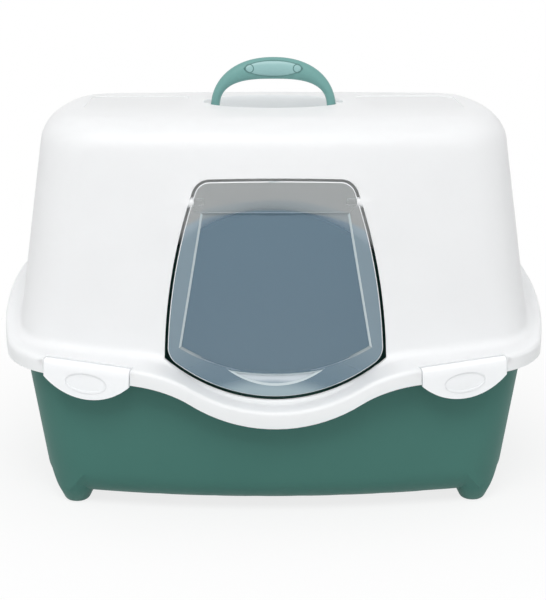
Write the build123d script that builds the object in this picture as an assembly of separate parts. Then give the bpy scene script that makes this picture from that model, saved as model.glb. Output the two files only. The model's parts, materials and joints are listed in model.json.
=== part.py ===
from build123d import *
import math
import os

# A covered litter box: a deep tray, a hood that drops over its rim, a swing flap in the entrance,
# a folding carry handle and four hinged clips. Millimetres, floor at Z = 0, entrance toward -Y.

# Overall sizes
rim_width = 574.0
rim_depth = 400.0
hood_top = 386.5
wall = 2.5
fit = 0.3
overrun = 30.0
plan_width_share = 0.697

# Parting line between hood and tray: it climbs to the back, dips at the entrance, arches behind
rim_height = 153.3
rim_rise = 44.0
dip_depth = 38.7
dip_half_width = 135.0
dip_crest_share = 0.61
arch_height = 55.0
arch_half_width = 146.0
arch_crest_share = 0.72
skirt_height = 15.0
skirt_dip_height = 16.5

# Plan of the flange: straight front and back, straight clip flats, bowed sides
front_half_run = 115.0
front_corner_setback = 53.5
front_side_setback = 29.0
back_half_run = 125.0
back_corner_setback = 34.0
back_side_setback = 5.0
rim_corner_radius = 80.0
rim_back_corner_radius = 40.0
rim_bend_radius = 120.0
rim_edge_radius = 4.0

# Hood walls, measured at the flange's front height, with slopes in millimetres per millimetre;
# bows and plan corners are shares of the plan's span, side bows of the overall width
ledge_front = 30.1
ledge_side = 17.8
ledge_back = 11.8
hood_front_slope = 0.171
hood_side_slope = 0.147
hood_back_slope = 0.164
hood_front_bow_share = 0.1325
hood_front_top_bow_share = 0.02
hood_back_bow_share = 0.0825
hood_back_top_bow_share = 0.0375
hood_side_bow_share = 0.0335
hood_corner_share = 0.15
hood_edge_radius = 35.0
hood_foot_radius = 12.0

# Tray walls, measured at the flange's front height and at the underside
tray_floor = 11.0
tray_front_inset = 13.0
tray_side_inset = 25.4
tray_back_inset = 43.8
tray_front_slope = 0.135
tray_side_slope = 0.186
tray_back_slope = 0.059
tray_front_bow_share = 0.145
tray_front_low_bow_share = 0.0575
tray_back_bow_share = 0.06
tray_side_bow_share = 0.0317
tray_corner_share = 0.145
tray_bottom_radius = 30.0
tray_lip_inset = 9.5
tray_lip_height = 10.0

# Feet
foot_half_span = 200.5
foot_front = 121.0
foot_back = 108.0
foot_tip_radius = 11.0
foot_top_radius = 30.0
foot_height = 38.0
foot_edge_radius = 7.0

# Entrance opening
door_low_half = 108.0
door_middle_half = 99.5
door_top_half = 76.0
door_height = 211.0
door_corner_rise = 37.5
door_crown = 1.5
door_corner_radius = 18.0
sill_step = 3.0

# Flap and its hinge
flap_gap = 3.0
flap_thickness = 2.2
flap_edge = 0.8
flap_inset = 0.6
flap_low_radius = 18.0
flap_pin_drop = 24.0
flap_pin_radius = 2.2
flap_pin_depth = 5.5
flap_knuckle_radius = 4.0
flap_knuckle_length = 9.0
lug_radius = 5.0
lug_length = 12.0
pin_play = 0.08
panel_low_half = 94.0
panel_top_half = 72.0
panel_low_rise = 48.0
panel_sag = 24.0
panel_top_rise = 178.0
panel_depth = 2.4
panel_slope_share = 0.9
pull_half_width = 48.0
pull_rise = 29.0
pull_height = 16.0
pull_depth = 3.0
pull_slope_share = 0.6

# Handle and its dish
dish_centre = 30.0
dish_depth = 17.0
dish_draft = 2.5
dish_gap = 2.5
dish_floor_radius = 4.0
handle_axis_drop = 9.0
handle_half_span = 66.0
handle_height = 55.3
handle_depth = 14.0
handle_lean = 1.0
handle_leg = 9.5
handle_grip = 23.0
handle_crown = 2.0
handle_outer_share = 0.96
handle_inner_share = 0.86
handle_edge_radius = 3.5
handle_pin_radius = 3.5
handle_pin_length = 4.0
handle_boss_radius = 7.5
grip_lens_half = 29.5
grip_lens_height = 16.0
grip_lens_depth = 0.8
grip_disc_radius = 3.6

# Clips
clip_width = 91.0
clip_thickness = 2.6
clip_proud = 0.6
clip_place_share = 0.476
clip_barrel_radius = 4.6
clip_end_drop = 13.0
clip_middle_drop = 31.0
clip_slit = 1.0
clip_pin_radius = 2.2
clip_pin_length = 4.2
clip_cheek = 4.0
clip_cheek_drop = 7.0
clip_nib_half = 26.0
clip_nib_drop = 10.2
clip_nib_height = 3.0
clip_mark_half_length = 22.0
clip_mark_half_height = 9.0
clip_mark_drop = 14.0
clip_mark_depth = 0.6

# Shallow relief panels on the hood's top
relief_length = 105.0
relief_width = 120.0
relief_place = 142.0
relief_centre = 22.0
relief_depth = 0.7
relief_radius = 18.0

half_width = rim_width / 2
half_depth = rim_depth / 2
plan_span = min(rim_depth, plan_width_share * rim_width)
hood_front_bow = hood_front_bow_share * plan_span
hood_front_top_bow = hood_front_top_bow_share * plan_span
hood_back_bow = hood_back_bow_share * plan_span
hood_back_top_bow = hood_back_top_bow_share * plan_span
hood_side_bow = hood_side_bow_share * rim_width
hood_corner_radius = hood_corner_share * plan_span
tray_front_bow = tray_front_bow_share * plan_span
tray_front_low_bow = tray_front_low_bow_share * plan_span
tray_back_bow = tray_back_bow_share * plan_span
tray_side_bow = tray_side_bow_share * rim_width
tray_corner_radius = tray_corner_share * plan_span
rim_slope = rim_rise / rim_depth
handle_axis_z = hood_top - handle_axis_drop
handle_pin_end = handle_half_span + handle_pin_length
dish_half_length = handle_pin_end + dish_gap + dish_draft * handle_axis_drop / dish_depth
dish_half_width = handle_height + dish_gap + dish_draft


def ledge_level(y):
    """Height of the flange's top, away from the dip and the arch."""
    return rim_height + rim_slope * (y + half_depth)


def bowed_plan(half, side_bow, front, front_bow, back, back_bow, radius):
    """Four-sided plan outline with bowed sides and rounded corners."""
    corner_half = half - side_bow
    front_corner = front + front_bow
    back_corner = back - back_bow
    middle = (front_corner + back_corner) / 2
    outline = [
        ThreePointArc((-corner_half, front_corner), (0, front), (corner_half, front_corner)),
        ThreePointArc((corner_half, front_corner), (half, middle), (corner_half, back_corner)),
        ThreePointArc((corner_half, back_corner), (0, back), (-corner_half, back_corner)),
        ThreePointArc((-corner_half, back_corner), (-half, middle), (-corner_half, front_corner)),
    ]
    plan = make_face(outline)
    return fillet(plan.vertices(), radius)


def flange_corner(end):
    """Where a clip flat starts on the front (-1) or back (1) edge, and where it meets the side."""
    if end < 0:
        start = Vector(front_half_run, -half_depth)
        return start, Vector(half_width - front_side_setback, front_corner_setback - half_depth)
    start = Vector(back_half_run, half_depth)
    return start, Vector(half_width - back_side_setback, half_depth - back_corner_setback)


def rim_plan(inset):
    """Plan of the flange: straight front and back, a straight flat for each clip, bowed sides."""
    front_start, front_end = flange_corner(-1)
    back_start, back_end = flange_corner(1)
    reach = math.sqrt(front_side_setback / back_side_setback)
    widest = Vector(half_width, (reach * back_end.Y + front_end.Y) / (reach + 1))
    right = [front_start, front_end, widest, back_end, back_start]
    left = [Vector(-point.X, point.Y) for point in right]
    outline = [Line(left[0], right[0]), Line(right[-1], left[-1])]
    for half in (right, left):
        outline += [Line(half[0], half[1]), ThreePointArc(*half[1:4]), Line(half[3], half[4])]
    plan = make_face(outline)
    bends = [v for v in plan.vertices() if abs(v.X) <= max(front_half_run, back_half_run) + fit]
    plan = fillet(bends, rim_bend_radius)
    for end, radius in ((front_end, rim_corner_radius), (back_end, rim_back_corner_radius)):
        corners = [v for v in plan.vertices() if abs(v.Y - end.Y) < fit]
        plan = fillet(corners, radius)
    if inset:
        plan = offset(plan, amount=-inset)
    return plan


def rim_prism(inset):
    """The flange's plan as a tall block."""
    return extrude(rim_plan(inset), amount=hood_top)


def wave_face(level, rise, half, crest_share):
    """Upright face below a level line with one smooth wave in its middle, for x across, y up."""
    sign = math.copysign(1, rise)
    total = (half**2 + rise**2) / (2 * abs(rise))
    crest = crest_share * total
    shoulder = total - crest
    turn = math.asin(half / total)
    meet_x = crest * math.sin(turn)
    meet_z = level + rise - sign * crest * (1 - math.cos(turn))
    bend_x = half - shoulder * math.sin(turn / 2)
    bend_z = level + sign * shoulder * (1 - math.cos(turn / 2))
    reach = half_width + overrun
    outline = [
        Line((-reach, -overrun), (-reach, level)),
        Line((-reach, level), (-half, level)),
        ThreePointArc((-half, level), (-bend_x, bend_z), (-meet_x, meet_z)),
        ThreePointArc((-meet_x, meet_z), (0, level + rise), (meet_x, meet_z)),
        ThreePointArc((meet_x, meet_z), (bend_x, bend_z), (half, level)),
        Line((half, level), (reach, level)),
        Line((reach, level), (reach, -overrun)),
        Line((reach, -overrun), (-reach, -overrun)),
    ]
    return make_face(outline)


def below_parting(drop, dip=dip_depth):
    """Everything under the parting surface, lowered by drop."""
    run = half_depth + overrun
    climb = (0, 1, rim_slope)
    length = run * math.hypot(1, rim_slope)
    front_plane = Plane(origin=(0, -run, 0), x_dir=(1, 0, 0), z_dir=(0, -1, 0))
    middle_plane = Plane(origin=(0, 0, 0), x_dir=(1, 0, 0), z_dir=(0, -1, 0))
    front_wave = wave_face(ledge_level(-run) - drop, -dip, dip_half_width, dip_crest_share)
    back_wave = wave_face(ledge_level(0) - drop, arch_height, arch_half_width, arch_crest_share)
    front = extrude(front_plane * front_wave, amount=length, dir=climb)
    back = extrude(middle_plane * back_wave, amount=length, dir=climb)
    return front + back


def hood_plan(z, inset):
    """Plan of the hood's walls at height z."""
    up = z - rim_height
    share = up / (hood_top - rim_height)
    half = half_width - ledge_side - hood_side_slope * up - inset
    front = -half_depth + ledge_front + hood_front_slope * up + inset
    back = half_depth - ledge_back - hood_back_slope * up - inset
    front_bow = hood_front_bow + share * (hood_front_top_bow - hood_front_bow)
    back_bow = hood_back_bow + share * (hood_back_top_bow - hood_back_bow)
    return bowed_plan(half, hood_side_bow, front, front_bow, back, back_bow, hood_corner_radius - inset)


def hood_block(inset):
    """The hood's body as a solid, drawn in by inset all round and at the top."""
    low = rim_height - dip_depth - skirt_height
    high = hood_top - inset
    block = loft([Pos(0, 0, z) * hood_plan(z, inset) for z in (low, high)], ruled=True)
    top = block.faces().sort_by(Axis.Z)[-1]
    return fillet(top.edges(), hood_edge_radius - inset)


def front_prism(sketch, depth):
    """An upright outline, x across and y up, run back from the front by depth."""
    front_plane = Plane(origin=(0, -half_depth - overrun, 0), x_dir=(1, 0, 0), z_dir=(0, -1, 0))
    return extrude(front_plane * sketch, amount=-depth)


def along_x(radius, start, end, y, z):
    """A round bar along X from start to end."""
    bar = Plane(origin=(start, y, z), x_dir=(0, 1, 0), z_dir=(1, 0, 0)) * Circle(radius)
    return extrude(bar, amount=end - start)


# Entrance outline and the flap's axis follow the flange's dip
hood_front_low = -half_depth + ledge_front - hood_front_slope * dip_depth
sill = ledge_level(hood_front_low) - dip_depth + sill_step
door_top = sill + door_height
flap_axis_z = door_top - flap_pin_drop
flap_axis_half = door_top_half + flap_pin_drop * (door_middle_half - door_top_half) / (door_height / 2)


def hood_front_at(x, z):
    """Y of the hood's outer front face."""
    up = z - rim_height
    share = up / (hood_top - rim_height)
    bow = hood_front_bow + share * (hood_front_top_bow - hood_front_bow)
    corner_half = half_width - ledge_side - hood_side_slope * up - hood_side_bow
    bow_radius = (corner_half**2 + bow**2) / (2 * bow)
    middle = -half_depth + ledge_front + hood_front_slope * up
    return middle + bow_radius - math.sqrt(bow_radius**2 - x**2)


flap_axis_y = hood_front_at(flap_axis_half + lug_length, flap_axis_z) + lug_radius


def door_outline():
    """Upright outline of the entrance: round sill, bowed sides, crowned top."""
    low = sill + door_corner_rise
    middle = (low + door_top) / 2
    shoulder = door_top - door_crown
    outline = [
        ThreePointArc((-door_low_half, low), (0, sill), (door_low_half, low)),
        ThreePointArc((door_low_half, low), (door_middle_half, middle), (door_top_half, shoulder)),
        ThreePointArc((door_top_half, shoulder), (0, door_top), (-door_top_half, shoulder)),
        ThreePointArc((-door_top_half, shoulder), (-door_middle_half, middle), (-door_low_half, low)),
    ]
    face = make_face(outline)
    return fillet(face.vertices().sort_by(Axis.Y)[-2:], door_corner_radius)


def flap_outline():
    """Outline of the flap: the entrance less its gap, with rounded low corners."""
    face = offset(door_outline(), amount=-flap_gap)
    return fillet(face.vertices().sort_by(Axis.Y)[:2], flap_low_radius)


def panel_outline(inset):
    """The flap's sunk panel: straight sides leaning in, round bottom, level top."""
    low = sill + panel_low_rise
    high = sill + panel_top_rise
    outline = [
        ThreePointArc((-panel_low_half, low), (0, low - panel_sag), (panel_low_half, low)),
        Line((panel_low_half, low), (panel_top_half, high)),
        Line((panel_top_half, high), (-panel_top_half, high)),
        Line((-panel_top_half, high), (-panel_low_half, low)),
    ]
    return offset(make_face(outline), amount=-inset)


def pull_outline(inset):
    """Crescent of the flap's finger pull."""
    low = sill + pull_rise
    outline = [
        ThreePointArc((-pull_half_width, low), (0, low - pull_height), (pull_half_width, low)),
        ThreePointArc((pull_half_width, low), (0, low - pull_height / 4), (-pull_half_width, low)),
    ]
    return offset(make_face(outline), amount=-inset)


def clip_frame(side, end):
    """Plane on a clip's hinge axis: x along the flat, y outward, z up."""
    flat_start, flat_end = flange_corner(end)
    run = flat_end - flat_start
    place = flat_start + run * clip_place_share
    outward = Vector(side * abs(run.Y), end * run.X, 0).normalized()
    flat = outward.cross(Vector(0, 0, 1))
    along = Vector(flat.X, flat.Y, rim_slope * flat.Y).normalized()
    foot = Vector(side * place.X, place.Y, 0) - outward * (clip_barrel_radius - clip_proud)
    origin = Vector(foot.X, foot.Y, ledge_level(foot.Y) - clip_barrel_radius)
    return Plane(origin=origin, x_dir=along, z_dir=along.cross(outward))


clip_frames = {
    "clip_front_left": clip_frame(-1, -1),
    "clip_front_right": clip_frame(1, -1),
    "clip_rear_left": clip_frame(-1, 1),
    "clip_rear_right": clip_frame(1, 1),
}


def make_clip():
    """A clip in its own axes: barrel with end pins, curved thumb plate, catch nib inside."""
    half = clip_width / 2
    barrel = along_x(clip_barrel_radius, -half, half, 0, 0)
    reach = half + clip_slit + clip_pin_length
    pins = along_x(clip_pin_radius, -reach, reach, 0, 0)
    outline = [
        Line((-half, 0), (-half, -clip_end_drop)),
        ThreePointArc((-half, -clip_end_drop), (0, -clip_middle_drop), (half, -clip_end_drop)),
        Line((half, -clip_end_drop), (half, 0)),
        Line((half, 0), (-half, 0)),
    ]
    outer_plane = Plane(origin=(0, clip_barrel_radius, 0), x_dir=(-1, 0, 0), z_dir=(0, 1, 0))
    plate = extrude(outer_plane * make_face(outline), amount=-clip_thickness)
    mark = Pos(0, -clip_mark_drop) * Ellipse(clip_mark_half_length, clip_mark_half_height)
    plate -= extrude(outer_plane * mark, amount=-clip_mark_depth)
    lip_face = clip_barrel_radius - clip_proud - tray_lip_inset
    nib_tip = lip_face + fit
    nib_root = clip_barrel_radius - clip_thickness
    nib_low = -clip_nib_drop - clip_nib_height
    nib_profile = make_face([
        Line((nib_root, -clip_nib_drop), (nib_tip, -clip_nib_drop)),
        Line((nib_tip, -clip_nib_drop), (nib_tip, -clip_nib_drop - clip_nib_height / 3)),
        Line((nib_tip, -clip_nib_drop - clip_nib_height / 3), (nib_root, nib_low)),
        Line((nib_root, nib_low), (nib_root, -clip_nib_drop)),
    ])
    nib_plane = Plane(origin=(-clip_nib_half, 0, 0), x_dir=(0, 1, 0), z_dir=(1, 0, 0))
    nib = extrude(nib_plane * nib_profile, amount=2 * clip_nib_half)
    return barrel + pins + plate + nib


def clip_notch():
    """Room for a clip in the flange, in the clip's axes."""
    half = clip_width / 2 + clip_slit
    back = clip_barrel_radius + fit
    size = overrun + back
    return Pos(0, size / 2 - back, 0) * Box(2 * half, size, 2 * overrun)


def clip_cheeks():
    """Two bored blocks under the ledge that carry a clip's pins, in the clip's axes."""
    start = clip_width / 2 + clip_slit
    back = clip_barrel_radius + fit
    front = clip_barrel_radius - clip_proud - wall / 2
    top = clip_barrel_radius - wall / 2
    block = Box(clip_cheek, back + front, top + clip_cheek_drop)
    place = ((front - back) / 2, (top - clip_cheek_drop) / 2)
    return [Pos(side * (start + clip_cheek / 2), place[0], place[1]) * block for side in (-1, 1)]


def clip_bore():
    """Bore for a clip's pins, in the clip's axes."""
    reach = clip_width / 2 + clip_slit + clip_pin_length + fit
    return along_x(clip_pin_radius + pin_play, -reach, reach, 0, 0)


def dish_solid(grow):
    """The handle's oval dish, from above the hood's top down to its floor."""
    floor = hood_top - dish_depth - grow
    reach = dish_depth + grow + overrun
    spread = dish_draft * overrun / dish_depth
    low = Ellipse(dish_half_length - dish_draft + grow, dish_half_width - dish_draft + grow)
    high = Ellipse(dish_half_length + spread + grow, dish_half_width + spread + grow)
    bowl = loft([Pos(0, dish_centre, floor) * low, Pos(0, dish_centre, floor + reach) * high], ruled=True)
    return fillet(bowl.faces().sort_by(Axis.Z)[0].edges(), dish_floor_radius + grow)


def shared_edges(body, first, second):
    """Edges of body that lie on the surfaces of both other solids."""
    skins = (first.shell(), second.shell())
    close = fit / overrun
    return [e for e in body.edges() if all(s.distance_to(Vertex(e @ 0.5)) < close for s in skins)]


def relief_recess():
    """A shallow recess with rounded corners."""
    plan = RectangleRounded(relief_length, relief_width, relief_radius)
    return extrude(plan, amount=overrun)


def make_hood():
    """Hood: bowed body with a wavy flange and skirt, entrance, dish, clip notches, relief panels."""
    outer = hood_block(0)
    under = below_parting(0)
    block = rim_prism(0)
    skirt_floor = below_parting(skirt_height, dip_depth + skirt_dip_height - skirt_height)
    flange = (block & under) - skirt_floor
    flange = fillet(shared_edges(flange, block, under), rim_edge_radius)
    hood = (outer - below_parting(wall)) + flange
    hood = fillet(shared_edges(hood, outer, under), hood_foot_radius)
    hood += dish_solid(wall) & outer
    inside = hood_block(wall) - dish_solid(wall)
    hood -= inside
    hood -= rim_prism(wall) & below_parting(wall)
    hood -= dish_solid(0)
    hood -= front_prism(door_outline(), half_depth + overrun + dish_centre - dish_half_width)
    hinge = (flap_axis_y, flap_axis_z)
    lug_inner = flap_axis_half - flap_gap + fit
    pivot = (dish_centre, handle_axis_z)
    for side in (-1, 1):
        lug_end = side * (lug_inner + lug_length)
        hood += along_x(lug_radius, side * lug_inner, lug_end, *hinge)
        hood -= along_x(flap_pin_radius + pin_play, side * lug_inner, lug_end, *hinge)
        boss_start = side * (handle_half_span + fit)
        boss_end = side * (handle_pin_end + dish_gap + wall)
        socket_end = side * (handle_pin_end + fit)
        hood += along_x(handle_boss_radius, boss_start, boss_end, *pivot)
        hood -= along_x(handle_pin_radius + pin_play, boss_start, socket_end, *pivot)
    for frame in clip_frames.values():
        hood -= frame.location * clip_notch()
        for cheek in clip_cheeks():
            hood += frame.location * cheek
        hood -= frame.location * clip_bore()
    for side in (-1, 1):
        hood -= Pos(side * relief_place, relief_centre, hood_top - relief_depth) * relief_recess()
    return hood


def tray_plan(z, inset):
    """Plan of the tray's walls at height z."""
    up = z - rim_height
    share = -up / (rim_height - tray_floor)
    half = half_width - tray_side_inset + tray_side_slope * up - inset
    front = -half_depth + tray_front_inset - tray_front_slope * up + inset
    back = half_depth - tray_back_inset + tray_back_slope * up - inset
    front_bow = tray_front_bow + share * (tray_front_low_bow - tray_front_bow)
    return bowed_plan(
        half, tray_side_bow, front, front_bow, back, tray_back_bow, tray_corner_radius - inset
    )


def tray_sides(low, inset):
    """The space inside the tray's walls, from height low up past the rim."""
    high = rim_height + rim_rise + arch_height + overrun
    return loft([Pos(0, 0, z) * tray_plan(z, inset) for z in (low, high)], ruled=True)


def tray_block(inset):
    """The tray's body as a solid, drawn in by inset all round and at the floor."""
    block = tray_sides(tray_floor + inset, inset)
    bottom = block.faces().sort_by(Axis.Z)[0]
    return fillet(bottom.edges(), tray_bottom_radius - inset)


def make_tray():
    """Tray: drafted tub on four feet, with an outward rim and a lip turned down for the clips."""
    hollow = tray_block(wall)
    seat = below_parting(wall + fit)
    tray = (tray_block(0) - hollow) & seat
    rim = rim_prism(tray_lip_inset) & (seat - below_parting(2 * wall + fit))
    lip = (rim_prism(tray_lip_inset) - rim_prism(tray_lip_inset + wall)) & seat
    lip -= below_parting(wall + fit + tray_lip_height)
    tray += rim - hollow
    tray += lip
    foot = Pos(0, 0, foot_height / 2) * Cone(foot_tip_radius, foot_top_radius, foot_height)
    foot = fillet(foot.edges().sort_by(Axis.Z)[0], foot_edge_radius)
    skin = tray_sides(0, fit)
    for side in (-1, 1):
        for end in (-foot_front, foot_back):
            tray += (Pos(side * foot_half_span, end, 0) * foot & skin) - hollow
    return tray


def make_flap():
    """Flap: a thin bowed pane with a sunk panel, a crescent finger pull and two pins."""
    front_skin = hood_block(flap_inset)
    back_skin = flap_inset + flap_thickness
    pane = front_prism(flap_outline(), half_depth + overrun)
    flap = (front_skin - hood_block(back_skin)) & pane
    flap = chamfer(shared_edges(flap, front_skin, pane), flap_edge)
    panel = (panel_outline, panel_depth, panel_slope_share)
    pull = (pull_outline, pull_depth, pull_slope_share)
    for outline, depth, slope_share in (panel, pull):
        backing = front_skin - hood_block(back_skin + depth)
        flap += backing & front_prism(outline(0), half_depth + overrun)
        pocket = front_prism(outline(flap_thickness), half_depth + overrun)
        flap -= pocket - hood_block(flap_inset + depth)
        flap = chamfer(shared_edges(flap, front_skin, pocket), slope_share * depth)
    lug_inner = flap_axis_half - flap_gap + fit
    hinge = (flap_axis_y, flap_axis_z)
    for side in (-1, 1):
        knuckle_start = side * (lug_inner - fit - flap_knuckle_length)
        knuckle_end = side * (lug_inner - fit)
        flap -= along_x(lug_radius + 2 * fit, knuckle_end, side * (lug_inner + lug_length), *hinge)
        flap += along_x(flap_knuckle_radius, knuckle_start, knuckle_end, *hinge)
        flap += along_x(flap_pin_radius, knuckle_end, side * (lug_inner + flap_pin_depth), *hinge)
    return flap


def make_handle():
    """Handle: a bail with leaning legs, a deep crowned grip, a lens recess and end pins."""
    lean = math.tan(math.radians(handle_lean))
    foot = handle_depth / 2
    shoulder = handle_height - handle_crown
    top_half = handle_half_span - lean * shoulder
    inner_half = handle_half_span - handle_leg
    grip_low = handle_height - handle_grip
    inner_top = inner_half - lean * grip_low
    leg = [(top_half, shoulder), (handle_half_span, 0), (handle_half_span, -foot)]
    leg += [(inner_half, -foot), (inner_half, 0), (inner_top, grip_low)]
    other_leg = [(-x, z) for x, z in reversed(leg)]
    crown = ThreePointArc(other_leg[-1], (0, handle_height), leg[0])
    face = make_face([crown, Polyline(*leg, *other_leg)])
    inner = [v for v in face.vertices() if abs(v.Y - grip_low) < fit]
    face = fillet(inner, handle_inner_share * grip_low)
    outer = [v for v in face.vertices() if v.Y > grip_low + fit]
    face = fillet(outer, handle_outer_share * shoulder)
    upright = Plane(origin=(0, foot, 0), x_dir=(1, 0, 0), z_dir=(0, -1, 0))
    bail = extrude(upright * face, amount=handle_depth)
    flats = bail.faces().filter_by(Axis.Y)
    bail = fillet(flats.edges(), handle_edge_radius)
    side = Circle(foot) + Pos(0, handle_height / 2) * Rectangle(handle_depth, handle_height)
    sideways = Plane(origin=(-handle_half_span, 0, 0), x_dir=(0, 1, 0), z_dir=(1, 0, 0))
    bail &= extrude(sideways * side, amount=2 * handle_half_span)
    bail += along_x(handle_pin_radius, handle_half_span - fit, handle_pin_end, 0, 0)
    bail += along_x(handle_pin_radius, -handle_pin_end, fit - handle_half_span, 0, 0)
    lens = make_face([
        ThreePointArc((-grip_lens_half, 0), (0, grip_lens_height / 2), (grip_lens_half, 0)),
        ThreePointArc((grip_lens_half, 0), (0, -grip_lens_height / 2), (-grip_lens_half, 0)),
    ])
    disc_place = grip_lens_half - 2 * grip_disc_radius
    for disc in (-disc_place, disc_place):
        lens -= Pos(disc, 0) * Circle(grip_disc_radius)
    middle = handle_height - handle_grip / 2
    for end in (-1, 1):
        skin = Plane(origin=(0, end * foot, middle), x_dir=(1, 0, 0), z_dir=(0, -1, 0))
        bail -= extrude(skin * lens, amount=end * grip_lens_depth)
    return Pos(0, dish_centre, handle_axis_z) * bail


if __name__ == "__main__":
    os.makedirs("parts", exist_ok=True)
    pieces = {
        "tray": make_tray(),
        "hood": make_hood(),
        "door_flap": make_flap(),
        "carry_handle": make_handle(),
    }
    clip = make_clip()
    for name, frame in clip_frames.items():
        pieces[name] = frame.location * clip
    for name, piece in pieces.items():
        export_step(piece, f"parts/{name}.step")
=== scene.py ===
import json
import math

import bmesh
import bpy
from mathutils import Matrix, Vector
from mathutils.bvhtree import BVHTree


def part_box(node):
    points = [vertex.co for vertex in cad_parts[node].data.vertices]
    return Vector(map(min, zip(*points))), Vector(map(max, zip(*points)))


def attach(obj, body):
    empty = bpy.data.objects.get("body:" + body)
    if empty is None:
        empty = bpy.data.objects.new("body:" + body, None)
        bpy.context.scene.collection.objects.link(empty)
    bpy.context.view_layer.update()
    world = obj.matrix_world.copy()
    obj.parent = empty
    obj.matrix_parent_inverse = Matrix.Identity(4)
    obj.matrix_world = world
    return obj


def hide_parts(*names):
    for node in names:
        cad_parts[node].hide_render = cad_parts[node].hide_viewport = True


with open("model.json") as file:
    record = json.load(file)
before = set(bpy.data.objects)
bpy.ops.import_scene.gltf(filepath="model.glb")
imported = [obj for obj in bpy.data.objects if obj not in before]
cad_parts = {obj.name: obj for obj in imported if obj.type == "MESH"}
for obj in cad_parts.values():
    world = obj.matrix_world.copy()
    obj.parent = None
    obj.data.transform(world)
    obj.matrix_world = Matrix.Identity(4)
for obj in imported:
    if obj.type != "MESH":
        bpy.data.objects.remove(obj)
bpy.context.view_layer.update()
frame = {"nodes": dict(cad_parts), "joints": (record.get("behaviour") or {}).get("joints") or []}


# Tray: a deep tub moulded in one piece in grey-green polypropylene, with four feet, a rounded
# bottom and an outward rim. Its sides have the fine even grain of a spark-eroded mould, and the
# feet and the bottom edge are scuffed a little paler by the floor.
tray_green = (0.048, 0.151, 0.128, 1.0)
tray_green_flow = (0.059, 0.170, 0.144, 1.0)
tray_green_scuffed = (0.130, 0.230, 0.205, 1.0)
tray_roughness = 0.46
tray_gloss = 0.17
tray_grain_depth = 0.00004
tray_scuff_height = 0.016
no_scuff_height = 0.0001
moulded_crease = 32.0
weld_distance = 0.000005


def maths(nodes, operation):
    """A node that does one sum."""
    node = nodes.new("ShaderNodeMath")
    node.operation = operation
    return node


def moulded_grain():
    """Shared effect: the grain, faint flow marks, scuffs and uneven sheen of moulded plastic."""
    group = bpy.data.node_groups.new("moulded_grain", "ShaderNodeTree")
    side = group.interface
    for name, kind, value in (
        ("Colour", "NodeSocketColor", (0.8, 0.8, 0.8, 1.0)),
        ("Flow colour", "NodeSocketColor", (0.7, 0.7, 0.7, 1.0)),
        ("Scuff colour", "NodeSocketColor", (0.9, 0.9, 0.9, 1.0)),
        ("Scuff height", "NodeSocketFloat", no_scuff_height),
        ("Flow size", "NodeSocketFloat", 7.0),
        ("Grain size", "NodeSocketFloat", 900.0),
        ("Grain depth", "NodeSocketFloat", 0.00004),
        ("Roughness", "NodeSocketFloat", 0.4),
        ("Uneven sheen", "NodeSocketFloat", 0.08),
    ):
        socket = side.new_socket(name, in_out="INPUT", socket_type=kind)
        socket.default_value = value
    for name, kind in (
        ("Colour", "NodeSocketColor"),
        ("Roughness", "NodeSocketFloat"),
        ("Normal", "NodeSocketVector"),
    ):
        side.new_socket(name, in_out="OUTPUT", socket_type=kind)
    nodes, links = group.nodes, group.links
    given = nodes.new("NodeGroupInput")
    result = nodes.new("NodeGroupOutput")
    place = nodes.new("ShaderNodeTexCoord")
    split = nodes.new("ShaderNodeSeparateXYZ")
    flow = nodes.new("ShaderNodeTexNoise")
    flow.inputs["Detail"].default_value = 4.0
    grain = nodes.new("ShaderNodeTexNoise")
    grain.inputs["Detail"].default_value = 2.0
    scratch = nodes.new("ShaderNodeTexNoise")
    scratch.inputs["Scale"].default_value = 160.0
    scratch.inputs["Detail"].default_value = 5.0
    low = nodes.new("ShaderNodeMapRange")
    low.inputs["From Min"].default_value = 0.0
    low.inputs["To Min"].default_value = 1.0
    low.inputs["To Max"].default_value = 0.0
    worn = maths(nodes, "MULTIPLY")
    tint = nodes.new("ShaderNodeMix")
    tint.data_type = "RGBA"
    scuff = nodes.new("ShaderNodeMix")
    scuff.data_type = "RGBA"
    sheen = maths(nodes, "MULTIPLY_ADD")
    bump = nodes.new("ShaderNodeBump")
    for placed in (flow, grain, scratch, split):
        links.new(place.outputs["Object"], placed.inputs["Vector"])
    links.new(split.outputs["Z"], low.inputs["Value"])
    links.new(given.outputs["Scuff height"], low.inputs["From Max"])
    links.new(low.outputs["Result"], worn.inputs[0])
    links.new(scratch.outputs["Fac"], worn.inputs[1])
    links.new(given.outputs["Flow size"], flow.inputs["Scale"])
    links.new(given.outputs["Grain size"], grain.inputs["Scale"])
    links.new(flow.outputs["Fac"], tint.inputs["Factor"])
    links.new(given.outputs["Colour"], tint.inputs["A"])
    links.new(given.outputs["Flow colour"], tint.inputs["B"])
    links.new(worn.outputs["Value"], scuff.inputs["Factor"])
    links.new(tint.outputs["Result"], scuff.inputs["A"])
    links.new(given.outputs["Scuff colour"], scuff.inputs["B"])
    links.new(flow.outputs["Fac"], sheen.inputs[0])
    links.new(given.outputs["Uneven sheen"], sheen.inputs[1])
    links.new(given.outputs["Roughness"], sheen.inputs[2])
    links.new(grain.outputs["Fac"], bump.inputs["Height"])
    links.new(given.outputs["Grain depth"], bump.inputs["Distance"])
    links.new(scuff.outputs["Result"], result.inputs["Colour"])
    links.new(sheen.outputs["Value"], result.inputs["Roughness"])
    links.new(bump.outputs["Normal"], result.inputs["Normal"])
    return group


grain_group = moulded_grain()


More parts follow.
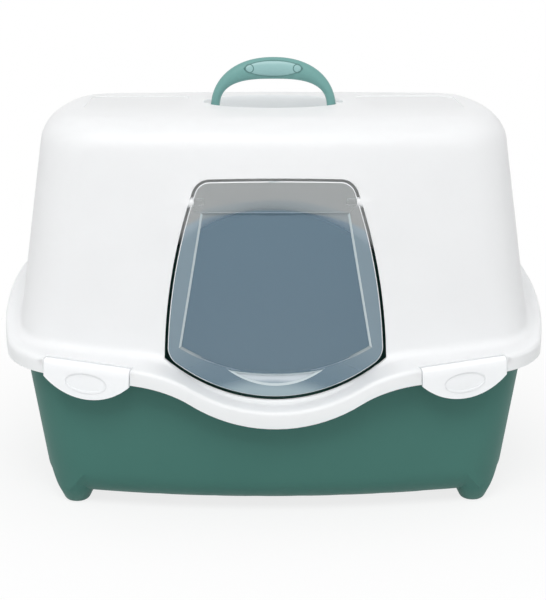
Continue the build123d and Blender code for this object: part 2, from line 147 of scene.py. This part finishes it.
def moulded_plastic(name, colour, flow_colour, roughness, grain_depth, gloss=0.5):
    """A moulded plastic: the shared grain with its own colour and sheen."""
    material = bpy.data.materials.new(name)
    material.use_nodes = True
    nodes, links = material.node_tree.nodes, material.node_tree.links
    skin = nodes["Principled BSDF"]
    skin.inputs["Specular IOR Level"].default_value = gloss
    grain = nodes.new("ShaderNodeGroup")
    grain.name = "grain"
    grain.node_tree = grain_group
    grain.inputs["Colour"].default_value = colour
    grain.inputs["Flow colour"].default_value = flow_colour
    grain.inputs["Roughness"].default_value = roughness
    grain.inputs["Grain depth"].default_value = grain_depth
    links.new(grain.outputs["Colour"], skin.inputs["Base Color"])
    links.new(grain.outputs["Roughness"], skin.inputs["Roughness"])
    links.new(grain.outputs["Normal"], skin.inputs["Normal"])
    return material


def merged_form(node, crease):
    """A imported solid's mesh with its loose triangles joined, smooth except at its real edges."""
    form = bmesh.new()
    form.from_mesh(frame["nodes"][node].data)
    bmesh.ops.remove_doubles(form, verts=form.verts, dist=weld_distance)
    bmesh.ops.dissolve_degenerate(form, dist=weld_distance, edges=form.edges)
    for face in form.faces:
        face.smooth = True
        face.material_index = 0
    for edge in form.edges:
        edge.smooth = edge.calc_face_angle(math.pi) < math.radians(crease)
    return form


def place_piece(name, form, materials):
    """Makes an object of a form, at the origin, and gives it its materials."""
    mesh = bpy.data.meshes.new(name)
    form.to_mesh(mesh)
    form.free()
    piece = bpy.data.objects.new(name, mesh)
    bpy.context.scene.collection.objects.link(piece)
    for material in materials:
        piece.data.materials.append(material)
    return piece


def dress_node(node, body, slot, form, *materials):
    """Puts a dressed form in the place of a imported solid."""
    piece = place_piece(node + "_skin", form, materials)
    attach(piece, body)
    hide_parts(node)
    return piece


tray_plastic = moulded_plastic(
    "tray_grey_green", tray_green, tray_green_flow, tray_roughness, tray_grain_depth, tray_gloss,
)
tray_grain = tray_plastic.node_tree.nodes["grain"]
tray_grain.inputs["Scuff colour"].default_value = tray_green_scuffed
tray_grain.inputs["Scuff height"].default_value = tray_scuff_height
dress_node("tray", "tray", "tray_plastic", merged_form("tray", moulded_crease), tray_plastic)


# Hood: a white polypropylene cover with a wavy flange that drops over the tray's rim. Its wall is
# thin enough to let some daylight through, and it has a soft satin skin, the entrance, the
# handle's dish and two shallow panels.
hood_white = (0.928, 0.945, 0.962, 1.0)
hood_white_flow = (0.920, 0.938, 0.956, 1.0)
hood_roughness = 0.40
white_grain_depth = 0.00002
wall_glow_share = 0.6
wall_glow_reach = (0.010, 0.010, 0.010)


def thin_white(name, roughness, glow_share):
    """White moulded plastic, through which some light passes."""
    material = moulded_plastic(name, hood_white, hood_white_flow, roughness, white_grain_depth)
    skin = material.node_tree.nodes["Principled BSDF"]
    skin.inputs["Subsurface Weight"].default_value = glow_share
    skin.inputs["Subsurface Radius"].default_value = wall_glow_reach
    skin.inputs["Subsurface Scale"].default_value = 1.0
    return material


hood_plastic = thin_white("hood_white", hood_roughness, wall_glow_share)
dress_node("hood", "hood", "hood_plastic", merged_form("hood", moulded_crease), hood_plastic)


# Flap: one smoky see-through pane of styrene with a sunk panel and a crescent pull, hung on two
# moulded pins in the entrance. Its rim and the sloped walls of its pockets catch the light, and are
# also painted pale as highlights; its border is painted paler than the panel as a reflection, with
# a painted highlight on its lower lip, and the pull's top is a painted highlight over painted
# shade.
# High up, over an arch, its smoke is painted grey with a painted band below it, for the light and
# shade of the hollow behind the pane.
# Painted light on the flap: the grey top and the band over an arch paint the light and shade of the
# hollow behind the pane; the pale border and its lip are a painted reflection and highlight; the
# rim, pocket walls, panel-end corners and pull carry painted highlights, and the pull also painted
# shade.
flap_smoke_low = (0.300, 0.432, 0.548, 1.0)
flap_smoke = (0.282, 0.420, 0.545, 1.0)
flap_smoke_painted_arch_band = (0.430, 0.505, 0.545, 1.0)
flap_smoke_painted_arch_top = (0.520, 0.548, 0.552, 1.0)
flap_border_painted_lip_highlight = (0.700, 0.880, 0.970, 1.0)
flap_border_low = (0.310, 0.445, 0.560, 1.0)
flap_border_painted_reflection = (0.450, 0.590, 0.690, 1.0)
flap_border_painted_arch_top = (0.510, 0.535, 0.540, 1.0)
flap_rim_painted_highlight = (0.930, 0.955, 0.965, 1.0)
flap_rim_painted_highlight_low = (0.880, 0.925, 0.945, 1.0)
flap_pocket_painted_highlight = (0.540, 0.620, 0.645, 1.0)
flap_pocket_painted_highlight_low = (0.560, 0.635, 0.660, 1.0)
flap_panel_end_smoke = (0.225, 0.335, 0.435, 1.0)
flap_pull_painted_highlight = (0.740, 0.810, 0.870, 1.0)
flap_pull_painted_shade = (0.440, 0.530, 0.600, 1.0)
flap_low, flap_high = (Vector(corner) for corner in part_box("door_flap"))
painted_arch_fall = 2.35
border_painted_arch_fall = 3.3
painted_arch_middle = -0.004
smoke_cloud_share = 0.02
panel_corner_highlight_reach = (0.058, 0.090)
flap_crease = 20.0
flat_limit = 0.90
wall_limit = 0.35
level_limit = 0.45
panel_middle_rise = 0.10
panel_top_rise = 0.19
panel_end_rise = 0.0214
panel_end_bow = 2.7
pull_rise = 0.04
pull_reach = 0.06


def painted_light_shift():
    """Shared effect: a point's share of the flap's height over an arch, faintly clouded, and how
    near it is to the panel's corners, by which light, shade and highlights are painted on the flap."""
    group = bpy.data.node_groups.new("painted_light_shift", "ShaderNodeTree")
    side = group.interface
    for name, value in (
        ("Arch fall", painted_arch_fall),
        ("Arch middle", painted_arch_middle),
        ("Clouds", smoke_cloud_share),
    ):
        side.new_socket(name, in_out="INPUT", socket_type="NodeSocketFloat").default_value = value
    for name in ("Share", "Corner"):
        side.new_socket(name, in_out="OUTPUT", socket_type="NodeSocketFloat")
    nodes, links = group.nodes, group.links
    given = nodes.new("NodeGroupInput")
    result = nodes.new("NodeGroupOutput")
    place = nodes.new("ShaderNodeTexCoord")
    split = nodes.new("ShaderNodeSeparateXYZ")
    cloud = nodes.new("ShaderNodeTexNoise")
    cloud.inputs["Scale"].default_value = 14.0
    cloud.inputs["Detail"].default_value = 3.0
    beside = maths(nodes, "SUBTRACT")
    squared = maths(nodes, "MULTIPLY")
    arched = maths(nodes, "MULTIPLY_ADD")
    clouded = maths(nodes, "MULTIPLY_ADD")
    across = maths(nodes, "ABSOLUTE")
    height = nodes.new("ShaderNodeMapRange")
    height.inputs["From Min"].default_value = flap_low.z
    height.inputs["From Max"].default_value = flap_high.z
    corner = nodes.new("ShaderNodeMapRange")
    corner.interpolation_type = "SMOOTHSTEP"
    corner.inputs["From Min"].default_value = panel_corner_highlight_reach[0]
    corner.inputs["From Max"].default_value = panel_corner_highlight_reach[1]
    links.new(place.outputs["Object"], cloud.inputs["Vector"])
    links.new(place.outputs["Object"], split.inputs["Vector"])
    links.new(split.outputs["X"], beside.inputs[0])
    links.new(given.outputs["Arch middle"], beside.inputs[1])
    links.new(beside.outputs["Value"], squared.inputs[0])
    links.new(beside.outputs["Value"], squared.inputs[1])
    links.new(squared.outputs["Value"], arched.inputs[0])
    links.new(given.outputs["Arch fall"], arched.inputs[1])
    links.new(split.outputs["Z"], arched.inputs[2])
    links.new(arched.outputs["Value"], height.inputs["Value"])
    links.new(cloud.outputs["Fac"], clouded.inputs[0])
    links.new(given.outputs["Clouds"], clouded.inputs[1])
    links.new(height.outputs["Result"], clouded.inputs[2])
    links.new(clouded.outputs["Value"], result.inputs["Share"])
    links.new(split.outputs["X"], across.inputs[0])
    links.new(across.outputs["Value"], corner.inputs["Value"])
    links.new(corner.outputs["Result"], result.inputs["Corner"])
    return group


painted_light_group = painted_light_shift()


def smoky_pane(name, stops, clearness, roughness, follows="Share"):
    """See-through tinted plastic, whose tint shifts with the flap's height or to its corners to
    paint light, shade and highlights.
    """
    material = bpy.data.materials.new(name)
    material.use_nodes = True
    nodes, links = material.node_tree.nodes, material.node_tree.links
    skin = nodes["Principled BSDF"]
    smoke = nodes.new("ShaderNodeGroup")
    smoke.name = "smoke"
    smoke.node_tree = painted_light_group
    tint = nodes.new("ShaderNodeValToRGB")
    ramp = tint.color_ramp
    ramp.interpolation = "EASE"
    while len(ramp.elements) < len(stops):
        ramp.elements.new(0.5)
    for element, (share, colour) in zip(ramp.elements, stops):
        element.position = share
        element.color = colour
    links.new(smoke.outputs[follows], tint.inputs["Fac"])
    links.new(tint.outputs["Color"], skin.inputs["Base Color"])
    skin.inputs["Roughness"].default_value = roughness
    skin.inputs["Alpha"].default_value = 1.0 - clearness
    return material


# The smoke's ramp paints the grey top and the band over the arch; the back faces use it too.
smoke_painted_arch_stops = [
    (0.0, flap_smoke_low), (0.872, flap_smoke), (0.884, flap_smoke_painted_arch_band),
    (0.918, flap_smoke_painted_arch_band), (0.932, flap_smoke_painted_arch_top),
]
# Painted light on the border: a painted highlight along the lower lip, a painted reflection that
# makes the border paler than the panel, and the painted grey top over the arch.
border_painted_light_stops = [
    (0.0, flap_border_painted_lip_highlight), (0.040, flap_border_painted_lip_highlight), (0.12, flap_border_low),
    (0.40, flap_border_painted_reflection), (0.895, flap_border_painted_reflection), (0.925, flap_border_painted_arch_top),
]
# The rim, the pocket walls and the panel's end corners are painted pale as highlights.
rim_painted_highlight_stops = [(0.0, flap_rim_painted_highlight_low), (1.0, flap_rim_painted_highlight)]
pocket_painted_highlight_stops = [(0.0, flap_pocket_painted_highlight_low), (1.0, flap_pocket_painted_highlight)]
panel_end_painted_highlight_stops = [(0.0, flap_panel_end_smoke), (1.0, flap_pocket_painted_highlight)]
# The pull's top is painted pale as a highlight, its lower part darker as painted shade.
pull_painted_light_stops = [(0.0, flap_pull_painted_shade), (0.070, flap_pull_painted_shade), (0.092, flap_pull_painted_highlight)]
flap_materials = [
    smoky_pane("flap_smoke", smoke_painted_arch_stops, clearness=0.62, roughness=0.16),
    smoky_pane("flap_border", border_painted_light_stops, clearness=0.58, roughness=0.16),
    smoky_pane("flap_rim", rim_painted_highlight_stops, clearness=0.08, roughness=0.22),
    smoky_pane("flap_pocket", pocket_painted_highlight_stops, clearness=0.08, roughness=0.22),
    smoky_pane("flap_panel_end", panel_end_painted_highlight_stops, clearness=0.55, roughness=0.20, follows="Corner"),
    smoky_pane("flap_pull", pull_painted_light_stops, clearness=0.25, roughness=0.20),
    smoky_pane("flap_back", smoke_painted_arch_stops, clearness=0.94, roughness=0.16),
]
pane, border, rim, pocket_wall, panel_end, pull, pane_back = range(len(flap_materials))
flap_materials[border].node_tree.nodes["smoke"].inputs["Arch fall"].default_value = border_painted_arch_fall
flap_form = merged_form("door_flap", flap_crease)


def smooth_patches(faces):
    """Sorts faces into patches that meet without a sharp edge, the largest first."""
    left = set(faces)
    patches = []
    while left:
        patch = [left.pop()]
        for face in patch:
            near = {other for edge in face.edges if edge.smooth for other in edge.link_faces} & left
            left -= near
            patch.extend(near)
        patches.append(patch)
    return sorted(patches, key=lambda patch: -sum(face.calc_area() for face in patch))


# The flap's rim, pocket walls and panel ends get the materials with painted highlights.
for face in flap_form.faces:
    centre = face.calc_center_median()
    rise = centre.z - flap_low.z
    level = abs(face.normal.x) < level_limit and -flat_limit < face.normal.y < -wall_limit
    in_pull = rise < pull_rise and abs(centre.x) < pull_reach
    face.material_index = pocket_wall if in_pull or face.normal.x * centre.x < 0.0 else rim
    if face.normal.y > wall_limit:
        face.material_index = pane_back
    elif level and panel_middle_rise < rise < panel_top_rise:
        face.material_index = pane
    elif level and panel_end_rise + panel_end_bow * centre.x ** 2 < rise < panel_middle_rise:
        face.material_index = panel_end
flat_fronts = smooth_patches(face for face in flap_form.faces if face.normal.y < -flat_limit)[:3]
flat_fronts.sort(key=lambda patch: -max(abs(vert.co.x) for face in patch for vert in face.verts))
for patch, index in zip(flat_fronts, (border, pane, pull)):
    for face in patch:
        face.material_index = index
panel_top = max(vert.co.z for face in flat_fronts[1] for vert in face.verts)
for face in flat_fronts[0]:
    if min(vert.co.z for vert in face.verts) > panel_top:
        face.material_index = pane
dress_node("door_flap", "flap", "flap_plastic", flap_form, *flap_materials)


# Carry handle: a teal bail moulded in one piece with its pins, folding down into the dish. It is
# oval in section, deep at the grip and slim at the legs, and each side of the grip has a smooth
# lens-shaped pad with a fine raised border and a small ring at each end, coloured dark as painted
# shade of a groove.
handle_teal = (0.158, 0.335, 0.315, 1.0)
handle_teal_flow = (0.174, 0.358, 0.338, 1.0)
handle_pad_teal = (0.265, 0.458, 0.454, 1.0)
handle_pad_flow = (0.276, 0.472, 0.467, 1.0)
# Painted shade: the pad's border and rings are coloured dark for the shade of a groove round them.
handle_line_painted_shade = (0.082, 0.200, 0.190, 1.0)
handle_line_painted_shade_flow = (0.090, 0.211, 0.201, 1.0)
handle_roughness, pad_roughness, line_roughness = 0.36, 0.30, 0.40
handle_gloss = 0.22
handle_grain_depth = 0.00003
trim_grain_depth = 0.00001
handle_pivot = Vector(next(j["pos_m"] for j in frame["joints"] if j["child"] == "handle"))
bail_outer = (0.0660, 0.0553, 2.2)
bail_inner = (0.0565, 0.0325, 2.85)
bail_leg_half_depth = 0.0058
bail_grip_half_depth = 0.0070
bail_tip = ((0.0066, 0.45), (0.0056, 0.78), (0.0036, 0.95), (0.0010, 1.0))
bail_steps = 64
bail_segments = 32
bail_crease = 40.0
bail_pin_radius = 0.0035
bail_pin_end = 0.0700
bail_pin_segments = 24
lens_half_width = 0.0305
lens_half_height = 0.0082
lens_point_power = 0.15
lens_line_radius = 0.0006
lens_line_height = 0.8
line_segments = 8
pad_shares = (0.0, 0.25, 0.5, 0.7, 0.85, 0.95, 1.0)
pad_inner_limit = 0.99
pad_lift = 0.0002
pad_weld_distance = 0.0001
pad_thickness = 0.0010
lay_start = 0.05
lay_steps = 96
boss_radius = 0.0042
boss_place = 0.0250


def arch_point(angle, half_span, rise, power):
    """A point of a flattened arch that stands on the handle's pins."""
    across, up = math.cos(angle), max(math.sin(angle), 0.0)
    side = math.copysign(half_span * abs(across) ** (2 / power), across)
    return Vector((side, 0, rise * up ** (2 / power)))


def bail_section(form, middle, reach, half_depth):
    """One oval section of the bail, and the edges of its loop."""
    ring = bmesh.ops.create_circle(form, segments=bail_segments, radius=1.0)["verts"]
    depth = Vector((0, 1, 0))
    run = reach.normalized().cross(depth)
    turn = Matrix((reach, depth * half_depth, run)).transposed().to_4x4()
    bmesh.ops.transform(form, matrix=Matrix.Translation(handle_pivot + middle) @ turn, verts=ring)
    return list({edge for vert in ring for edge in vert.link_edges})


def bail():
    """The handle's body: oval sections bridged along an arch, with round tips and pins."""
    form = bmesh.new()
    loops = []
    first = arch_point(0.0, *bail_outer)
    leg_middle = (first + arch_point(0.0, *bail_inner)) / 2
    leg_reach = first - leg_middle
    for drop, share in bail_tip:
        middle = leg_middle - Vector((0, 0, drop))
        loops.append(bail_section(form, middle, leg_reach * share, bail_leg_half_depth * share))
    for step in range(bail_steps + 1):
        angle = math.pi * step / bail_steps
        outer = arch_point(angle, *bail_outer)
        inner = arch_point(angle, *bail_inner)
        swell = math.sin(angle) ** 2
        half_depth = bail_leg_half_depth + swell * (bail_grip_half_depth - bail_leg_half_depth)
        loops.append(bail_section(form, (outer + inner) / 2, (outer - inner) / 2, half_depth))
    for drop, share in reversed(bail_tip):
        middle = Vector((-leg_middle.x, 0, -drop))
        loops.append(bail_section(form, middle, -leg_reach * share, bail_leg_half_depth * share))
    for near, far in zip(loops, loops[1:]):
        bmesh.ops.bridge_loops(form, edges=near + far)
    bmesh.ops.holes_fill(form, edges=loops[0] + loops[-1], sides=0)
    for side in (-1, 1):
        pin_middle = Vector((side * (leg_middle.x + bail_pin_end) / 2, 0, 0))
        place = Matrix.Translation(handle_pivot + pin_middle)
        bmesh.ops.create_cone(
            form, cap_ends=True, segments=bail_pin_segments,
            radius1=bail_pin_radius, radius2=bail_pin_radius, depth=bail_pin_end - leg_middle.x,
            matrix=place @ Matrix.Rotation(math.pi / 2, 4, "Y"),
        )
    bmesh.ops.recalc_face_normals(form, faces=form.faces)
    for face in form.faces:
        face.smooth = True
    for edge in form.edges:
        edge.smooth = edge.calc_face_angle(math.pi) < math.radians(bail_crease)
    return form


def lens_outline(angle):
    """The outline of the grip's pad, pointed at both ends."""
    up = math.sin(angle)
    return lens_half_width * math.cos(angle), lens_half_height * up * abs(up) ** lens_point_power


def laid_ring(surface, centre, across, up, outward, outline, line_radius, line_height):
    """A fine raised line along a closed outline, laid on a surface."""
    form = bmesh.new()
    line = bmesh.ops.create_circle(form, segments=line_segments, radius=line_radius)["verts"]
    bmesh.ops.rotate(form, verts=line, cent=(0, 0, 0), matrix=Matrix.Rotation(math.pi / 2, 3, "X"))
    bmesh.ops.translate(form, verts=line, vec=(1.0, 0, 0))
    bmesh.ops.spin(
        form, geom=form.verts[:] + form.edges[:], cent=(0, 0, 0), axis=(0, 0, 1),
        angle=2 * math.pi, steps=lay_steps, use_merge=True,
    )
    for vert in form.verts:
        place = Vector(outline(math.atan2(vert.co.y, vert.co.x)))
        place += place.normalized() * (math.hypot(vert.co.x, vert.co.y) - 1.0)
        start = centre + across * place.x + up * place.y + outward * lay_start
        vert.co = surface.ray_cast(start, -outward)[0] + outward * vert.co.z * line_height
    bmesh.ops.recalc_face_normals(form, faces=form.faces)
    if form.calc_volume(signed=True) < 0.0:
        bmesh.ops.reverse_faces(form, faces=form.faces)
    for face in form.faces:
        face.smooth = True
    return form


def lens_pad(surface, centre, across, up, outward):
    """A thin smooth pad of the lens outline, laid on the grip."""
    form = bmesh.new()
    spokes = [form.verts.new((share, 0, 0)) for share in pad_shares]
    for near, far in zip(spokes, spokes[1:]):
        form.edges.new((near, far))
    bmesh.ops.spin(
        form, geom=form.verts[:] + form.edges[:], cent=(0, 0, 0), axis=(0, 0, 1),
        angle=2 * math.pi, steps=lay_steps, use_merge=True,
    )
    bmesh.ops.remove_doubles(form, verts=form.verts, dist=pad_weld_distance)
    for vert in form.verts:
        share = math.hypot(vert.co.x, vert.co.y)
        place = Vector(lens_outline(math.atan2(vert.co.y, vert.co.x))) * share
        start = centre + across * place.x + up * place.y + outward * lay_start
        lift = pad_lift if share < pad_inner_limit else -pad_lift
        vert.co = surface.ray_cast(start, -outward)[0] + outward * lift
    bmesh.ops.recalc_face_normals(form, faces=form.faces)
    for face in form.faces:
        face.smooth = True
        if face.normal.dot(outward) < 0.0:
            face.normal_flip()
    bmesh.ops.solidify(form, geom=form.faces[:], thickness=pad_thickness)
    return form


def round_outline(half_width, half_height):
    """The outline of a ring or an oval."""
    return lambda angle: (half_width * math.cos(angle), half_height * math.sin(angle))


handle_plastic = moulded_plastic(
    "handle_teal", handle_teal, handle_teal_flow,
    handle_roughness, handle_grain_depth, handle_gloss,
)
pad_plastic = moulded_plastic(
    "handle_pad_teal", handle_pad_teal, handle_pad_flow, pad_roughness, trim_grain_depth,
)
# The border and rings get a dark teal as painted shade.
line_painted_shade_plastic = moulded_plastic(
    "handle_line_painted_shade", handle_line_painted_shade, handle_line_painted_shade_flow, line_roughness, trim_grain_depth,
)
bail_form = bail()
bail_surface = BVHTree.FromBMesh(bail_form)
bail_middle = handle_pivot + Vector((0, 0, (bail_outer[1] + bail_inner[1]) / 2))
boss_outline = round_outline(boss_radius, boss_radius)
up = Vector((0, 0, 1))
for name, outward in (("front", Vector((0, -1, 0))), ("back", Vector((0, 1, 0)))):
    across = up.cross(outward)
    pad_form = lens_pad(bail_surface, bail_middle, across, up, outward)
    border_form = laid_ring(
        bail_surface, bail_middle, across, up, outward, lens_outline,
        lens_line_radius, lens_line_height,
    )
    trims = [
        place_piece("grip_pad_" + name, pad_form, [pad_plastic]),
        place_piece("grip_border_" + name, border_form, [line_painted_shade_plastic]),
    ]
    for label, side in (("left", -1), ("right", 1)):
        boss_middle = bail_middle + across * side * boss_place
        boss_form = laid_ring(
            bail_surface, boss_middle, across, up, outward, boss_outline,
            lens_line_radius, lens_line_height,
        )
        trims.append(place_piece(f"grip_boss_{name}_{label}", boss_form, [line_painted_shade_plastic]))
    for piece in trims:
        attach(piece, "handle")
dress_node("carry_handle", "handle", "handle_plastic", bail_form, handle_plastic)


# Clips: four white hinged plates that turn on moulded pins in notches of the flange and catch
# under the tray's lip. Each has a fine oval line that shows the thumb where to pull.
clip_glow_share = 0.28
clip_roughness = 0.38
clip_plastic = thin_white("clip_white", clip_roughness, clip_glow_share)
oval_half_width = 0.0215
oval_half_height = 0.0095
oval_line_radius = 0.0004
oval_line_height = 0.18
oval_drop = 0.0155


def thumb_oval(clip_name, clip_mesh):
    """A fine raised oval line, laid on the outer face of a clip."""
    hinge = next(j for j in frame["joints"] if j["child"] == clip_name)
    along = Vector(hinge["axis"]).normalized()
    pivot = Vector(hinge["pos_m"])
    outward = Vector((pivot.x, pivot.y, 0.0))
    outward = (outward - along * outward.dot(along)).normalized()
    down = along.cross(outward)
    if down.z > 0.0:
        down = -down
    form = laid_ring(
        BVHTree.FromBMesh(clip_mesh), pivot + down * oval_drop, along, down, outward,
        round_outline(oval_half_width, oval_half_height), oval_line_radius, oval_line_height,
    )
    piece = place_piece(clip_name + "_thumb_oval", form, [clip_plastic])
    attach(piece, clip_name)


for clip_name in ("clip_front_left", "clip_front_right", "clip_rear_left", "clip_rear_right"):
    clip_form = merged_form(clip_name, moulded_crease)
    thumb_oval(clip_name, clip_form)
    dress_node(clip_name, clip_name, "clip_plastic", clip_form, clip_plastic)


# Studio: a plain pale floor that keeps a soft shadow, one large lamp in front and above, and a
# white surround.
floor_pale = (0.90, 0.90, 0.90, 1.0)
floor_half_size = 8.0
floor_roughness = 0.9
floor_fade_reach = (0.25, 0.75)
floor_white_share = (0.80, 1.0)
daylight_strength = 0.68
paper_white = (1.0, 1.0, 1.0, 1.0)


def seen_rays(tree):
    """A mask of the camera's, mirrored and see-through rays, by which the surround looks white."""
    ray = tree.nodes.new("ShaderNodeLightPath")
    mask = ray.outputs["Is Camera Ray"]
    for name in ("Is Glossy Ray", "Is Transmission Ray"):
        either = maths(tree.nodes, "MAXIMUM")
        tree.links.new(mask, either.inputs[0])
        tree.links.new(ray.outputs[name], either.inputs[1])
        mask = either.outputs["Value"]
    return mask


floor_form = bmesh.new()
bmesh.ops.create_grid(floor_form, x_segments=1, y_segments=1, size=floor_half_size)
floor_material = bpy.data.materials.new("floor_pale")
floor = place_piece("floor", floor_form, [floor_material])
floor_material.use_nodes = True
floor_nodes, floor_links = floor_material.node_tree.nodes, floor_material.node_tree.links
floor_skin = floor_nodes["Principled BSDF"]
floor_skin.inputs["Base Color"].default_value = floor_pale
floor_skin.inputs["Roughness"].default_value = floor_roughness
floor_skin.inputs["Specular IOR Level"].default_value = 0.0
floor_white = floor_nodes.new("ShaderNodeEmission")
floor_mix = floor_nodes.new("ShaderNodeMixShader")
floor_place = floor_nodes.new("ShaderNodeTexCoord")
floor_length = floor_nodes.new("ShaderNodeVectorMath")
floor_length.operation = "LENGTH"
floor_fade = floor_nodes.new("ShaderNodeMapRange")
for end, reach, white_share in zip(("Min", "Max"), floor_fade_reach, floor_white_share):
    floor_fade.inputs["From " + end].default_value = reach
    floor_fade.inputs["To " + end].default_value = white_share
floor_share = maths(floor_nodes, "MULTIPLY")
floor_links.new(floor_place.outputs["Object"], floor_length.inputs[0])
floor_links.new(floor_length.outputs["Value"], floor_fade.inputs["Value"])
floor_links.new(seen_rays(floor_material.node_tree), floor_share.inputs[0])
floor_links.new(floor_fade.outputs["Result"], floor_share.inputs[1])
floor_links.new(floor_share.outputs["Value"], floor_mix.inputs["Fac"])
floor_links.new(floor_skin.outputs["BSDF"], floor_mix.inputs[1])
floor_links.new(floor_white.outputs["Emission"], floor_mix.inputs[2])
floor_links.new(floor_mix.outputs["Shader"], floor_nodes["Material Output"].inputs["Surface"])

world = bpy.data.worlds.new("surround")
bpy.context.scene.world = world
world.use_nodes = True
world_nodes, world_links = world.node_tree.nodes, world.node_tree.links
daylight = world_nodes["Background"]
daylight.inputs["Color"].default_value = paper_white
daylight.inputs["Strength"].default_value = daylight_strength
paper = world_nodes.new("ShaderNodeBackground")
paper.inputs["Color"].default_value = paper_white
paper.inputs["Strength"].default_value = 1.0
world_mix = world_nodes.new("ShaderNodeMixShader")
world_links.new(seen_rays(world.node_tree), world_mix.inputs["Fac"])
world_links.new(daylight.outputs["Background"], world_mix.inputs[1])
world_links.new(paper.outputs["Background"], world_mix.inputs[2])
world_links.new(world_mix.outputs["Shader"], world_nodes["World Output"].inputs["Surface"])


def softbox(name, place, aim, width, height, power):
    """A large rectangular lamp turned toward a point."""
    lamp = bpy.data.lights.new(name, "AREA")
    lamp.shape = "RECTANGLE"
    lamp.size = width
    lamp.size_y = height
    lamp.energy = power
    holder = bpy.data.objects.new(name, lamp)
    bpy.context.scene.collection.objects.link(holder)
    holder.location = place
    holder.rotation_euler = (Vector(aim) - Vector(place)).to_track_quat("-Z", "Y").to_euler()
    return holder


softbox(
    "front_softbox", place=(-0.2, -1.7, 2.15), aim=(0.0, -0.1, 0.2),
    width=1.6, height=1.2, power=32.0,
)

camera_place = (-0.0195, -1.7, 0.5801)
camera_dip = 13.30
camera_turn = -0.65
camera_lens = 98.36
camera_shift = -0.0007
camera_data = bpy.data.cameras.new("camera")
camera_data.lens = camera_lens
camera_data.sensor_width = 36.0
camera_data.shift_x = camera_shift
camera = bpy.data.objects.new("camera", camera_data)
bpy.context.scene.collection.objects.link(camera)
camera.location = camera_place
camera.rotation_euler = (math.radians(90.0 - camera_dip), 0.0, math.radians(camera_turn))
bpy.context.scene.camera = camera
bpy.context.scene.view_settings.view_transform = "Standard"
